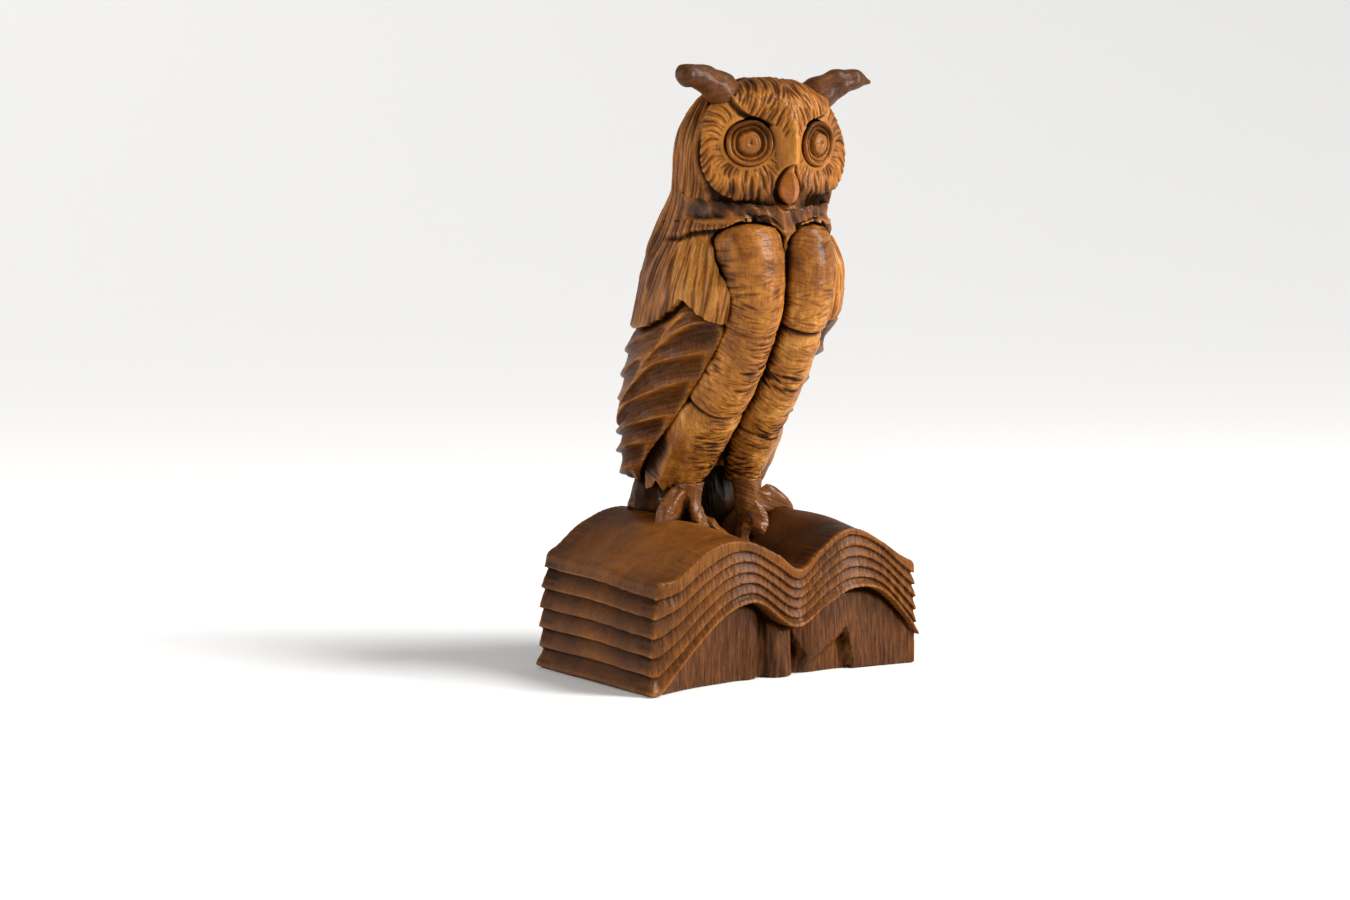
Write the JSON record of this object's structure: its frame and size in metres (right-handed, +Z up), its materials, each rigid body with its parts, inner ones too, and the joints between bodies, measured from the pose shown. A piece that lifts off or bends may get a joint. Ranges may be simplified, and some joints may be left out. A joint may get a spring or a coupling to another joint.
{
  "type": "owl figurine",
  "caption": "Carved wooden owl with outward ear tufts standing on an open book, stained brown and varnished, for a shelf or desk.",
  "frame": {"origin": "centre of the flat underside of the book, on the surface that the figurine stands on", "axes": "+Z up, the owl faces -Y, and +X is on the right of someone who faces the owl"},
  "size_m": [0.0941, 0.0614, 0.1754],
  "materials": {
    "book_wood": "dark walnut-brown stain, glossy varnish",
    "page_wood": "mid to dark brown stain over fine grain, satin varnish with lighter worn ridges",
    "plumage_wood": "brown stain, satin varnish, darker in the gouge cuts",
    "breast_wood": "golden-brown stain, satin varnish, rubbed lighter on the high spots",
    "foot_wood": "reddish-brown stain, satin varnish",
    "dowel_wood": "plain unstained beech, hidden",
    "face_wood": "golden-brown stain, satin varnish, darker in the cuts",
    "eye_wood": "golden-brown stain, polished",
    "beak_wood": "orange-brown stain, polished"
  },
  "bodies": {
    "root": {"book_support": "book_wood", "book_cover": "book_wood", "page_block_left": "page_wood", "page_block_right": "page_wood", "body": "plumage_wood", "tail": "plumage_wood", "leg_left": "breast_wood", "leg_right": "breast_wood", "foot_left": "foot_wood", "foot_right": "foot_wood", "wing_left": "plumage_wood", "wing_right": "plumage_wood", "flight_feathers_left": "plumage_wood", "flight_feathers_right": "plumage_wood", "ankle_dowel_left": "dowel_wood", "ankle_dowel_right": "dowel_wood", "neck_dowel": "dowel_wood", "head": "face_wood", "ear_tuft_left": "face_wood", "ear_tuft_right": "face_wood", "eye_left": "eye_wood", "eye_right": "eye_wood", "beak": "beak_wood"}
  },
  "joints": []
}
